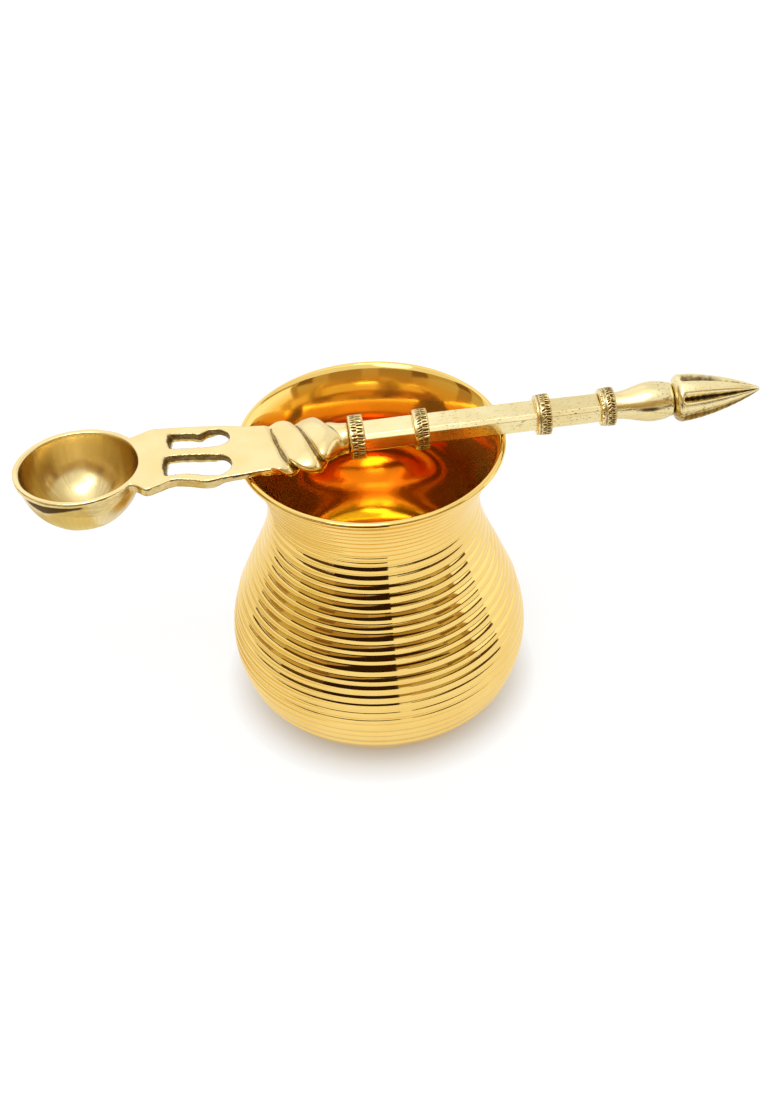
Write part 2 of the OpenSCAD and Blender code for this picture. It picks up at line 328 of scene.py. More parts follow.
def mirror_brass():
    """Golden brass off the buffing wheel: very smooth, with faint clouds and hair-fine lines round the cup.
    Inside, where the wheel doesn't reach, it stays duller. Its colour there is painted light: orange for
    light bounced between the inner walls, and a pale yellow pool of painted light where the cup says."""
    material, tree, shader, place = new_metal("mirror_brass")
    clouds = noise(tree, place, scale=0.06)
    inside = attribute(tree, "inside")
    buffed = blend(tree, span(tree, clouds, CLOUD_LOW, CLOUD_HIGH), BUFFED, BUFFED_DEEP)
    painted_inside = blend(tree, attribute(tree, "yellow"), BOUNCE_ORANGE, LIGHT_POOL_YELLOW)
    tree.links.new(blend(tree, inside, buffed, painted_inside), shader.inputs["Base Color"])
    tree.links.new(span(tree, inside, 0, 1, 1.0, INSIDE_METAL), shader.inputs["Metallic"])
    cloudy = span(tree, clouds, CLOUD_LOW, CLOUD_HIGH, MIRROR_ROUGH, MIRROR_DULL)
    rough = math_node(tree, "ADD", cloudy, math_node(tree, "MULTIPLY", inside, INSIDE_DULLER))
    tree.links.new(rough, shader.inputs["Roughness"])
    lines = noise(tree, place, scale=3.0, detail=2.0, stretch=(0.02, 0.02, 1))
    bump = add_node(tree, "ShaderNodeBump", Strength=0.03, Distance=BUMP_DEEP, Height=lines)
    tree.links.new(bump.outputs["Normal"], shader.inputs["Normal"])
    return material


# %% Satin brass of the spoon, and the tarnish and painted shade in it
# Old brass and tarnish, which also serve as painted shade and reflection where a piece asks for them.
AGED_AND_SHADED = (0.52, 0.36, 0.11, 1)
TARNISH_AND_SHADE = (0.115, 0.068, 0.022, 1)
BRUSH_LOW, BRUSH_HIGH = 0.25, 0.75
STREAK_LESS, STREAK_MORE = 0.7, 1.3
SHEEN_SMOOTH, SHEEN_BRUSHED, DIRT_ROUGH = 0.17, 0.27, 0.3
PIT_FROM, PIT_FULL = 0.58, 0.68
GRIT, CHIPS = 0.25, -3.0


def satin_brass(name, pale, deep, tarnish_from, tarnish_full):
    """Hand-finished cast brass: brushed along the grain of the piece, aged and pitted where the piece says
    so, and tarnished in grooves from one drift to another. Painted shade and reflection that a piece puts
    into its aged and groove fields take the same dark colours."""
    material, tree, shader, place = new_metal(name)
    clouds = noise(tree, place, scale=0.12)
    grain = attribute(tree, "grain", "Vector")
    brushed = noise(tree, grain, scale=2.2, detail=2.0, stretch=(0.06, 1, 1))
    grains = noise(tree, place, scale=1.5, detail=2.0)
    specks = noise(tree, grain, scale=2.6, detail=2.0, stretch=(0.5, 1, 1))
    pits = math_node(tree, "MULTIPLY", span(tree, specks, PIT_FROM, PIT_FULL), attribute(tree, "pitting"))
    gritty = math_node(tree, "MULTIPLY", grains, GRIT)
    rough_groove = math_node(tree, "ADD", attribute(tree, "groove"), gritty)
    dirt_and_shade = math_node(tree, "MAXIMUM", span(tree, rough_groove, tarnish_from, tarnish_full), pits)
    bright = blend(tree, span(tree, clouds, CLOUD_LOW, CLOUD_HIGH), pale, deep)
    streaks = span(tree, brushed, BRUSH_LOW, BRUSH_HIGH, STREAK_LESS, STREAK_MORE)
    metal = blend(tree, math_node(tree, "MULTIPLY", attribute(tree, "aged"), streaks), bright, AGED_AND_SHADED)
    tree.links.new(blend(tree, dirt_and_shade, metal, TARNISH_AND_SHADE), shader.inputs["Base Color"])
    sheen = span(tree, brushed, BRUSH_LOW, BRUSH_HIGH, SHEEN_SMOOTH, SHEEN_BRUSHED)
    worn = math_node(tree, "ADD", sheen, math_node(tree, "MULTIPLY", dirt_and_shade, DIRT_ROUGH))
    tree.links.new(worn, shader.inputs["Roughness"])
    chipped = math_node(tree, "MULTIPLY", math_node(tree, "MULTIPLY", grains, dirt_and_shade), CHIPS)
    bump = add_node(tree, "ShaderNodeBump", Strength=0.12, Distance=BUMP_DEEP,
                    Height=math_node(tree, "ADD", brushed, chipped))
    tree.links.new(bump.outputs["Normal"], shader.inputs["Normal"])
    return material


# %% Finishes of this set
PALE, DEEP = (0.89, 0.73, 0.38, 1), (0.86, 0.67, 0.31, 1)
WORN_PALE, WORN_DEEP = (0.92, 0.80, 0.46, 1), (0.88, 0.73, 0.37, 1)
cup_brass = mirror_brass()
spoon_brass = satin_brass("satin_brass", PALE, DEEP, tarnish_from=0.35, tarnish_full=0.9)
handle_brass = satin_brass("worn_brass", WORN_PALE, WORN_DEEP, tarnish_from=0.3, tarnish_full=0.8)
collar_brass = satin_brass("chased_brass", PALE, DEEP, tarnish_from=-0.1, tarnish_full=0.3)
print("finishes:", cup_brass.name, spoon_brass.name, handle_brass.name, collar_brass.name)

# %% [markdown]
# ## The cup
#
# A disc of sheet is pressed over a turning form, necked in, and its edge is rolled into a bead. The ribs are
# turned into the wall afterwards. So the cup is one profile carried round an axis. A modelling program would
# use a screw or spin tool. Here the profile is a list of radii and heights, and a row of angles makes the
# rings. Each rib is the absolute value of a sine: a rounded ridge between two sharp grooves. Its slope is
# what cuts the reflected room into bright and dark lines, so it gets ten points.

# %% Profile of the cup
BEAD_R, BEAD_FROM, BEAD_TO = 0.8, 222, 484
CUP_H, BELLY_Z, NECK_Z = 76.2, 19.4, 58
BASE_R, BELLY_R, NECK_R = 25.4, 36.7, 25.6
LIP_R, LIP_Z = 32.2 - BEAD_R, CUP_H - BEAD_R
FLARE = 1.7
WALL, FLOOR, FLOOR_R = 1.2, 1.6, 27.0
RIB_LOW, RIB_HIGH, RIBS, RIB_H = 6.4, NECK_Z, 21, 0.35
FINE_HIGH, FINE_RIBS, FINE_H = 72.4, 9, 0.2
RIB_SPACING, RIB_UNEVEN = 0.11, 0.2
CUP_SIDES, HUB_R = 200, 3


def wall_radius(z):
    """Outside of the wall: a quarter ellipse up to the belly, an eased S up to the neck,
    then a flare with a power of the height."""
    base = BASE_R + (BELLY_R - BASE_R) * np.sqrt(np.clip(1 - (1 - z / BELLY_Z) ** 2, 0, 1))
    shoulder = mix(BELLY_R, NECK_R, ease((z - BELLY_Z) / (NECK_Z - BELLY_Z)))
    flare = mix(NECK_R, LIP_R, (np.clip(z - NECK_Z, 0, None) / (LIP_Z - NECK_Z)) ** FLARE)
    return np.where(z < BELLY_Z, base, np.where(z < NECK_Z, shoulder, flare))


def inner_radius(z):
    """Inside of the wall: the outside less the sheet, measured square to it.
    Below the belly it is a quarter ellipse down to the flat floor."""
    slope = np.gradient(wall_radius(z), z)
    sheet = mix(WALL, BEAD_R, ease((z - NECK_Z) / (LIP_Z - NECK_Z))) * np.sqrt(1 + slope ** 2)
    above = np.clip((BELLY_Z - z) / (BELLY_Z - FLOOR), 0, 1)
    bowl = mix(FLOOR_R, BELLY_R - WALL, np.sqrt(1 - above ** 2))
    return np.where(z < BELLY_Z, bowl, wall_radius(z) - sheet)


def ribbed_wall(low, high, count, height, steps, seed):
    """Radius and height up a ribbed stretch. The grooves are spaced almost evenly, as by a steady hand.
    Each rib is half a sine wave between two grooves, a little higher or lower than the next."""
    rng = np.random.default_rng(seed)
    grooves = np.linspace(low, high, count + 1)
    grooves[1:-1] += rng.uniform(-RIB_SPACING, RIB_SPACING, count - 1) * (high - low) / count
    u = np.arange(steps) / steps
    z = (grooves[:-1, None] + u * np.diff(grooves)[:, None]).ravel()
    uneven = rng.uniform(1 - RIB_UNEVEN, 1 + RIB_UNEVEN, (count, 1))
    rib = (height * uneven * np.sin(math.pi * u)).ravel()
    return np.stack([wall_radius(z) + rib, z], -1)


def cup_profile():
    """Radius and height from the middle of the underside, up the outside, over the bead, and down to the
    floor. Also how much each point belongs to the inside."""
    foot = np.stack([np.linspace(HUB_R, BASE_R, 12), np.zeros(12)], -1)
    round_up = BELLY_Z * (1 - np.cos(np.linspace(0.06, math.acos(1 - RIB_LOW / BELLY_Z), 24)))
    skirt = np.stack([wall_radius(round_up), round_up], -1)[:-1]
    ribs = ribbed_wall(RIB_LOW, RIB_HIGH, RIBS, RIB_H, steps=10, seed=1)
    fine_ribs = ribbed_wall(RIB_HIGH, FINE_HIGH, FINE_RIBS, FINE_H, steps=8, seed=2)
    z = np.linspace(FINE_HIGH, LIP_Z - 0.5, 10)
    band = np.stack([wall_radius(z), z], -1)
    turn = np.radians(np.linspace(BEAD_FROM, BEAD_TO, 24))
    bead = np.stack([LIP_R + BEAD_R * np.cos(turn), LIP_Z + BEAD_R * np.sin(turn)], -1)
    z = np.concatenate([np.linspace(LIP_Z - 0.6, 20, 60),
                        FLOOR + (BELLY_Z - FLOOR) * (1 - np.sin(np.linspace(0, math.pi / 2, 24)))])
    wall = np.stack([inner_radius(z), z], -1)
    floor = np.stack([np.linspace(FLOOR_R - 1, HUB_R, 10), np.full(10, FLOOR)], -1)
    outside = np.concatenate([foot, skirt, ribs, fine_ribs, band, bead])
    within = np.concatenate([wall, floor])
    inside = np.concatenate([np.zeros(len(outside)), ease((LIP_Z - 0.3 - within[:, 1]) / 2.5)])
    return np.concatenate([outside, within]), inside


# %% Cup
# The painted pool of light in the cup: full at the floor, fading above one height, and a share again under
# the lip.
LIGHT_POOL_BELOW, LIGHT_POOL_FADE = 34, 16
LIP_LIGHT_ABOVE, LIP_LIGHT_RISE, LIP_LIGHT_SHARE = 59, 9, 0.42


def painted_light_share(z):
    """How much painted light the inside gets at a height: a full yellow pool of it at the floor, and a share
    again under the lip.
    """
    return ease((LIGHT_POOL_BELOW - z) / LIGHT_POOL_FADE) + LIP_LIGHT_SHARE * ease((z - LIP_LIGHT_ABOVE) / LIP_LIGHT_RISE)


profile, inside = cup_profile()
angle = full_turn(CUP_SIDES)
cup_rings = np.stack([profile[:, :1] * np.cos(angle), profile[:, :1] * np.sin(angle),
                      np.repeat(profile[:, 1:], CUP_SIDES, 1)], -1)
inside = np.append(np.repeat(inside, CUP_SIDES), [0, 1])
cup_points, cup_faces = stack(cup_rings)
# The cup's points say where the inside is, and how much painted light falls there.
make_piece("cup", cup_points, cup_faces, "cup", "vessel", "vessel_brass", cup_brass, inside=inside,
           yellow=painted_light_share(cup_points[:, 2]))
frame_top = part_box("vessel")[1][2] / MM
print("cup top", round(profile[:, 1].max(), 2), "mm, frame says", round(frame_top, 2))

# %% [markdown]
# ## The spoon's own frame
#
# The spoon leans a little, because its flat neck rests on one side of the lip and its thicker rod on the
# other. Its pieces are drawn straight along an axis: s along the spoon, t across it towards the far side, and
# n up. The collars at the two ends of the rod are in the frame, and the line through their middles is that
# axis, so nothing about the lean has to be written down.

# %% Axis through the two end collars
def middle_of(node):
    """Middle of a node's box, in millimetres."""
    low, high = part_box(node)
    return np.array((low + high) / 2) / MM


axis_from, axis_to = middle_of("root_collar"), middle_of("end_collar")
along = (axis_to - axis_from) / np.linalg.norm(axis_to - axis_from)
over_cup = axis_from - along * axis_from[0] / along[0]
upward = np.array([-along[2], 0, along[0]])


def on_rim(s, t, n):
    """Points of the spoon in the shared frame, from along, across and up."""
    s, t, n = np.broadcast_arrays(s, t, n)
    return over_cup + s[..., None] * along + t[..., None] * np.array([0, 1, 0]) + n[..., None] * upward


def station(node):
    """Where a collar's middle lies along the spoon."""
    return float((middle_of(node) - over_cup) @ along)


COLLARS = ["root_collar", "inner_collar", "outer_collar", "end_collar"]
collar_at = {node: station(node) for node in COLLARS}
print("lean", round(math.degrees(math.asin(along[2])), 2), "degrees; collars at",
      {node: round(at, 1) for node, at in collar_at.items()})

# %% [markdown]
# ## The ladle
#
# Bowl, pierced neck and twist are one casting, and the file has blended them into each other. Solids with
# such soft junctions are hard to draw as one grid. So the bowl, the three bars of the neck and the twist are
# drawn as overlapping stacks of rings, and a voxel remesh melts them into one skin. A few rounds of drift,
# in and back, take the voxel steps away and leave edges that look filed.
#
# The two slots aren't cut: they are the room that the three bars leave between them.

# %% Bowl
COLLAR_W = 3.6
ROOT_END = collar_at["root_collar"] - COLLAR_W / 2
TWIST_LEN, NECK_LEN = 19, 44.9
TWIST_START = ROOT_END - TWIST_LEN
BOWL_AT = TWIST_START - NECK_LEN
PLATE_T = 2.0
BOWL_R, BOWL_OVAL, BOWL_DEPTH, BOWL_ASIDE = 15.5, 28.5 / 31, 16.0, 0.5
BOWL_RIM_W, BOWL_RIM_OUT, BOWL_FLOOR = 1.5, 1.0, 1.6
BOWL_RIM_H, BODY_FROM, RIM_FADE = 1.2, 1.3, 0.5
HANG_NECK, HANG_BESIDE, HANG_FROM, HANG_OVER = 2.2, 4.6, 35, 38
SHOULDER_END, SHOULDER_FADE, SHOULDER_EDGE = 78, 26, 0.7


def shoulder_hang(turned):
    """Depth of the shoulder's lower edge, by degrees from the handle's side: it sinks and then runs level."""
    return mix(HANG_NECK, HANG_BESIDE, ease((turned - HANG_FROM) / HANG_OVER))


def bowl_rings(sides=200):
    """The bowl round its own upright axis. Outside: a deep half ellipse under the rim's band. On the handle's
    side a thick shoulder hangs below the rim. It sinks as it leaves the neck, and then it runs out.
    Inside: a half ellipse."""
    phi = full_turn(sides)[None, :]
    turned = np.degrees(np.abs(np.arctan2(np.sin(phi), np.cos(phi))))
    a = np.linspace(math.radians(88), math.radians(22), 30)[:, None]
    depth = np.concatenate([BOWL_DEPTH * np.sin(a), np.linspace(5.9, 0.2, 58)[:, None]])
    sunk = np.clip((depth - BODY_FROM) / (BOWL_DEPTH - BODY_FROM), 0, 1)
    body = (BOWL_R - BOWL_RIM_OUT) * np.sqrt(1 - sunk ** 2)
    rim = 1 - ease((depth - BOWL_RIM_H) / RIM_FADE)
    hanging = 1 - ease((depth - shoulder_hang(turned)) / SHOULDER_EDGE)
    shoulder = hanging * (1 - ease((turned - SHOULDER_END) / SHOULDER_FADE))
    outer = mix(body, BOWL_R, np.maximum(rim, shoulder))
    outside = np.stack(np.broadcast_arrays(outer, -depth), -1)
    top = np.array([[BOWL_R - 0.25, 0.0], [BOWL_R - BOWL_RIM_W + 0.25, 0.0]])
    a = np.linspace(math.radians(2), math.radians(88), 40)
    inner = np.stack([(BOWL_R - BOWL_RIM_W) * np.cos(a), -(BOWL_DEPTH - BOWL_FLOOR) * np.sin(a)], -1)
    lining = np.concatenate([top, inner])[:, None, :]
    within = np.broadcast_to(lining, (len(lining), sides, 2))
    radius, up = np.moveaxis(np.concatenate([outside, within]), -1, 0)
    return np.stack([BOWL_AT + radius * np.cos(phi), BOWL_ASIDE + BOWL_OVAL * radius * np.sin(phi),
                     PLATE_T / 2 + up], -1)


print("bowl at", round(BOWL_AT, 1), "mm along the spoon, twist from", round(TWIST_START, 1))

# %% Neck with its two slots
OVERLAP, NECK_IN_TWIST, NECK_BELLY = 0.5, 3.5, 0.7
ROUND_END, SQUARE_END = 2.6, 0.6
FAR_EDGE = [(-69, 7.5), (-56, 9.6), (-52.1, 11.5), (-47, 11.2), (-41, 10.6), (-35, 9.8), (-29, 8.4),
            (-23, 7.6)]
NEAR_EDGE = [(-69, -6.5), (-57.5, -8.6), (-56, -9.3), (-54, -11.1), (-50.9, -10.3), (-47, -8.8),
             (-43.9, -9.4), (-39.6, -10.8), (-34.9, -10.2), (-30, -9.8), (-23, -9.0)]
FAR_SLOT = ((-48, -33.3), [(-48, 8.8), (-46, 8.4), (-42, 7.7), (-40, 7.2), (-38.3, 8.2), (-33, 7.6)],
            [(-48, 3.2), (-41.5, 2.2), (-33, 2.2)])
NEAR_SLOT = ((-49.4, -33.4), [(-50, -0.9), (-48, -0.1), (-43, -0.3), (-38.8, -1.0), (-33, -2.2)],
             [(-50, -7.0), (-44, -7.1), (-40.6, -8.2), (-37.5, -9.0), (-33, -8.4)])


def slot_side(slot, far, s, up):
    """One long edge of a slot: its middle line plus or minus half its width. The first end is nearly square,
    slopes inwards under the top face, and the other end is round. Beyond both ends the edges overlap."""
    (start, end), far_keys, near_keys = slot
    high, low = along_keys(s, far_keys), along_keys(s, near_keys)
    rough = 0.10 * waver(s, 3 * up, float(far), length=2.1, seed=31)
    rough = rough + 0.12 * waver(s, up, float(far), length=5, seed=32)
    half = (high - low) / 2
    past = np.clip((s - (end - ROUND_END)) / ROUND_END, 0, 1)
    opening = ease((s - start - SQUARE_END * (1 - up) + SQUARE_END / 2) / SQUARE_END)
    reach = mix(-OVERLAP, half * np.sqrt(1 - past ** 2) + rough, opening) - OVERLAP * (s > end)
    return (high + low) / 2 + (reach if far else -reach)


def bar_rings(low, high, count=240, sides=48, squareness=7):
    """A bar of the neck between two edges that change along it, with a squarish oval section.
    Its start is pushed out of the bowl: s is at least where the bowl's wall has the same t.
    It is thicker below where the slots are, and its end thins, narrows and dies away inside the twist."""
    s = np.linspace(BOWL_AT + 9, TWIST_START + NECK_IN_TWIST, count)[:, None]
    dying = ease((s - TWIST_START + 0.5) / (NECK_IN_TWIST + 0.5))
    a = full_turn(sides)[None, :]
    cos, sin = np.cos(a), np.sin(a)
    across = np.sign(cos) * np.abs(cos) ** (2 / squareness)
    up = np.sign(sin) * np.abs(sin) ** (2 / squareness)
    edge_low, edge_high = low(s, up), high(s, up)
    t = ((edge_low + edge_high) / 2 + (edge_high - edge_low) / 2 * across) * mix(1, 0.75, dying)
    wall = BOWL_R - BOWL_RIM_W / 2
    beside = (t - BOWL_ASIDE) / BOWL_OVAL
    s = np.maximum(s, BOWL_AT + np.sqrt(np.clip(wall ** 2 - beside ** 2, 0, None)))
    thick = PLATE_T / 2 * (1 + 0.03 * waver(s, t, 0, length=9, seed=3)) * mix(1, 0.3, dying)
    thick = thick + NECK_BELLY * (up < 0) * ease((s - BOWL_AT - 8) / 6) * ease((-35 - s) / 3)
    return np.stack(np.broadcast_arrays(s, t, thick * up), -1)


def neck_bars():
    """The far, middle and near bar."""
    far = bar_rings(lambda s, up: slot_side(FAR_SLOT, True, s, up), lambda s, up: along_keys(s, FAR_EDGE))
    middle = bar_rings(lambda s, up: slot_side(NEAR_SLOT, True, s, up),
                       lambda s, up: slot_side(FAR_SLOT, False, s, up))
    near = bar_rings(lambda s, up: along_keys(s, NEAR_EDGE), lambda s, up: slot_side(NEAR_SLOT, False, s, up))
    return [far, middle, near]


# %% Twist
TWIST_PITCH, TWIST_FULL, ROOT_D = 13.4, 3.5, 7.4
TWIST_PHASE, TWIST_ASIDE, NECK_END = 33, -1.2, 8.3
VALLEY, RIDGE_UP, RIDGE_OUT = 0.11, 1.1, 3.0
LOBE_LEAN, LOBE_POWER, LOBE_SUNK = 0.75, 0.38, 0.55
SPIGOT_R, SPIGOT_SEAT, BRAZE = 2.1, 7.0, 0.05
BORE_R = SPIGOT_R + BRAZE


def turned_rings(s, radius, a):
    """Rings round the spoon's axis, each with its place along it and a radius at every angle."""
    return np.stack(np.broadcast_arrays(s, radius * np.cos(a), radius * np.sin(a)), -1)


def twist_rings(count=170, sides=160):
    """Flat section into round section, while two broad ridges wind round it, parted by sharp valleys.
    A ridge is a power of a sine, leaning to one side, and the first one grows out of the neck.
    The points of a ring turn with the ridges, so that the valleys stay sharp.
    The last rings turn back inside and form the socket of the rod's spigot."""
    u = np.linspace(-0.12, 1, count)[:, None]
    j = np.arange(sides)[None, :] * 360 / sides
    turn = np.radians(360 * u * TWIST_LEN / TWIST_PITCH + TWIST_PHASE + j)
    half_w = mix(NECK_END, ROOT_D / 2, ease((u - 0.58) / 0.32))
    swelling = mix(PLATE_T / 2 - 0.06, TWIST_FULL, ease((u + 0.05) / 0.65))
    half_t = np.where(u < 0.6, swelling, mix(TWIST_FULL, ROOT_D / 2, ease((u - 0.6) / 0.4)))
    share = ease(u / 0.45)
    across = np.clip((j / 180 % 1 - VALLEY / 2) / (1 - VALLEY), 0, 1)
    lobe = np.sin(math.pi * across ** LOBE_LEAN) ** LOBE_POWER
    first = 1 - ease((j - 60) / 60) * (j < 180) * (1 - ease((u - 0.2) / 0.25))
    ridge = ease((u + 0.12) / 0.2) * ease((0.97 - u) / 0.3) * first * (lobe - LOBE_SUNK)
    cos, sin = np.cos(turn), np.sin(turn)
    boxy = math.sqrt(2)
    aside = TWIST_ASIDE * (1 - ease((u - 0.5) / 0.4))
    t = aside + (half_w + RIDGE_OUT * ridge) * mix(np.clip(cos * boxy, -1, 1), cos, share)
    n = (half_t + RIDGE_UP * ridge) * mix(np.clip(sin * boxy, -1, 1), sin, share)
    body = np.stack(np.broadcast_arrays(TWIST_START + u * TWIST_LEN, t, n), -1)
    socket_s = np.array([ROOT_END, ROOT_END - SPIGOT_SEAT])[:, None]
    return np.concatenate([body, turned_rings(socket_s, BORE_R, turn[-1:])])


# %% One skin for the ladle
VOXEL, FILED = 0.265, 0.05
MELT_ROUNDS, DRIFT_IN, DRIFT_BACK, LAST_DRIFT = 6, 0.6, -0.62, 0.5


def melt(stacks, voxel):
    """Overlapping closed stacks as one skin: a voxel remesh, then drift in and back, which keeps the
    volume."""
    parts = [stack(rings) for rings in stacks]
    starts = np.cumsum([0] + [len(points) for points, _ in parts])
    points = np.concatenate([points for points, _ in parts])
    faces = np.concatenate([faces + start for (_, faces), start in zip(parts, starts)])
    mesh = new_mesh("melt", points, faces)
    draft = add_object("melt", mesh)
    remesh = draft.modifiers.new("melt", "REMESH")
    remesh.mode = "VOXEL"
    remesh.voxel_size = voxel
    skin = draft.evaluated_get(bpy.context.evaluated_depsgraph_get()).to_mesh()
    points = np.empty(len(skin.vertices) * 3)
    skin.vertices.foreach_get("co", points)
    corners = np.empty(len(skin.loops), int)
    skin.loops.foreach_get("vertex_index", corners)
    points, faces = points.reshape(-1, 3), corners.reshape(-1, 4)
    bpy.data.objects.remove(draft)
    bpy.data.meshes.remove(mesh)
    edges = drift_edges(faces)
    for _ in range(MELT_ROUNDS):
        points = drift(points, edges, rounds=1, step=DRIFT_IN)
        points = drift(points, edges, rounds=1, step=DRIFT_BACK)
    return drift(points, edges, rounds=1, step=LAST_DRIFT), faces


skin_points, skin_faces = melt([bowl_rings(), *neck_bars(), twist_rings()], VOXEL)
s, t, n = skin_points.T
filed = FILED * waver(s, t, n, length=7, seed=11)[:, None] * point_normals(skin_points, skin_faces)
skin_points = skin_points + filed
print("ladle skin:", len(skin_points), "points from voxels of", VOXEL, "mm")

# %% Tarnish and painted shade of the ladle
SLOT_MARGIN, SLOT_DIRT = 0.35, 0.62
# The wedge is painted shade under the overhang of the bowl's rim, on the near side.
WEDGE_TURN, WEDGE_SPREAD, WEDGE_SHADE = -128, 46, 0.95
UNDER_RIM_R, UNDER_RIM_FROM, UNDER_RIM_TO, WEDGE_DEPTH = 13.9, 1.15, 2.3, 3
FOLD_W, FOLD_R, FOLD_FROM, FOLD_TO, FOLD_DARK = 0.5, 13, 20, 96, 0.62
NECK_HOLLOW, TWIST_HOLLOW, HOLLOW_MOST = 0.25, 1.2, 0.6

round_bowl = np.stack([s - BOWL_AT, (t - BOWL_ASIDE) / BOWL_OVAL], -1)
reach = np.linalg.norm(round_bowl, axis=1)
turned = np.degrees(np.arctan2(round_bowl[:, 1], round_bowl[:, 0]))
depth = PLATE_T / 2 - n


def slot_walls():
    """True on the walls of the slots: between a slot's two edges with some margin, but not on the faces."""
    found = np.zeros(len(s), bool)
    for (start, end), far_keys, near_keys in (FAR_SLOT, NEAR_SLOT):
        below_far = t < along_keys(s, far_keys) + SLOT_MARGIN
        above_near = t > along_keys(s, near_keys) - SLOT_MARGIN
        found |= below_far & above_near & (s > start - 0.5) & (s < end + 0.4)
    return found & (np.abs(n) < PLATE_T / 2 - 0.12)


def shade_under_rim():
    """Painted shade: a dark wedge under the rim's overhanging band on the near side, deepest at one turn,
    thin towards both ends.
    """
    wedge = np.clip(1 - np.abs(turned - WEDGE_TURN) / WEDGE_SPREAD, 0, 1)
    below_band = ease((reach - UNDER_RIM_R) / 0.3) * ease((depth - UNDER_RIM_FROM) / 0.3)
    return below_band * ease((UNDER_RIM_TO + WEDGE_DEPTH * wedge - depth) / 1.3) * ease(wedge / 0.2)


def shoulder_fold():
    """A darker bell-shaped line along the shoulder's lower edge, on the near side only."""
    off = depth - shoulder_hang(np.abs(turned)) - FOLD_W
    near = ease((-turned - FOLD_FROM) / 12) * ease((FOLD_TO + turned) / 20)
    return np.exp(-(off / FOLD_W) ** 2) * near * (reach > FOLD_R)


in_twist = ease((s - TWIST_START) / 2)
groove = hollow(skin_points, skin_faces, rounds=30, depth=0.2) * mix(NECK_HOLLOW, TWIST_HOLLOW, in_twist)
groove = np.maximum(np.minimum(groove, HOLLOW_MOST), SLOT_DIRT * slot_walls())
# Painted shade under the rim's overhang goes into the same field as the tarnish.
groove = np.maximum(groove, WEDGE_SHADE * shade_under_rim())
groove = np.maximum(groove, FOLD_DARK * shoulder_fold())
print("tarnished share of the ladle:", round(float((groove > 0.5).mean()), 3))

# %% Grain, age and painted shade of the ladle
GRAIN_R, BOWL_AGE_LEAST, DARK_ENDS_POWER, OUTSIDE_AGE, EDGE_AGE = 14, 0.15, 1.5, 0.45, 0.55
within = (reach < BOWL_R - BOWL_RIM_W + 0.1) & (depth > 0.4) & (depth < BOWL_DEPTH)
turn = np.radians(turned)
along_wall = np.stack([depth, GRAIN_R * np.cos(turn), GRAIN_R * np.sin(turn)], -1)
grain = np.where(within[:, None], along_wall, skin_points)
# Old brass in the bowl, faint in its middle; towards both ends along the spoon it darkens more as a painted
# dark reflection.
painted_dark_ends = np.abs(np.cos(turn))
bowl_age_and_shade = ease((16.6 - reach) / 0.8) * ease((depth - 0.3) / 0.9)
bowl_age_and_shade = bowl_age_and_shade * np.where(within, mix(BOWL_AGE_LEAST, 1, painted_dark_ends ** DARK_ENDS_POWER), OUTSIDE_AGE)
edge_age = ease((depth - 0.25) / 0.4) * ease((reach - 16) / 0.8) * ease((TWIST_START - 1 - s) / 3)
aged = np.maximum(bowl_age_and_shade, EDGE_AGE * edge_age)
make_piece("spoon_ladle", on_rim(*skin_points.T), skin_faces, "spoon", "ladle", "spoon_brass", spoon_brass,
           groove=groove, pitting=np.zeros(len(s)), grain=grain, aged=aged)

# %% [markdown]
# ## The rod
#
# The handle is a flat bar with its corners filed off: eight faces, the top one wide. A smooth shader needs
# the faces to stay flat right up to the narrow rounded corners, so every face gets points close to both of
# its ends.

# %% Eight-sided rod with its spigots
ROD_W, ROD_H, ROD_CUT, ROD_CORNER = 7.2, 5.0, 0.9, 0.22
ROD_START = ROOT_END + COLLAR_W
ROD_END = collar_at["end_collar"] - COLLAR_W / 2
FINIAL_LEN = 14.2
ROD_THINNER = 0.05
SCORED_AT, SCORE_W, SCORE_DEPTH = (18.2, 20.8), 0.2, 0.008
PITTED_T, PITTED_N = 2.2, 1.5


def rod_corners(grow=0.0):
    """Corners of the bar's section, counterclockwise from the upper right, grown on all sides."""
    w, h = ROD_W / 2 + grow, ROD_H / 2 + grow
    c = ROD_CUT + grow * (2 - math.sqrt(2))
    quarter = np.array([[w, h - c], [w - c, h]])
    left = quarter[::-1] * [-1, 1]
    upper = np.concatenate([quarter, left])
    return np.concatenate([upper, -upper])


def rounded(corners, radius, steps=5):
    """A polygon with round corners: each corner is an arc, and each side has points near both its ends."""
    before, after = np.roll(corners, 1, 0), np.roll(corners, -1, 0)
    way_in = (corners - before) / np.linalg.norm(corners - before, axis=1, keepdims=True)
    way_out = (after - corners) / np.linalg.norm(after - corners, axis=1, keepdims=True)
    start = np.arctan2(-way_in[:, 0], way_in[:, 1])
    bend = np.arctan2(np.cross(way_in, way_out), (way_in * way_out).sum(1))
    back_off = radius * np.tan(bend / 2)
    centre = corners - way_in * back_off[:, None] + radius * np.stack([-way_in[:, 1], way_in[:, 0]], -1)
    a = start[:, None] + bend[:, None] * np.linspace(0, 1, steps)
    arcs = centre[:, None] + radius * np.stack([np.cos(a), np.sin(a)], -1)
    first = corners - way_in * (back_off + 0.15)[:, None]
    last = corners + way_out * (back_off + 0.15)[:, None]
    return np.concatenate([first[:, None], arcs, last[:, None]], 1).reshape(-1, 2)


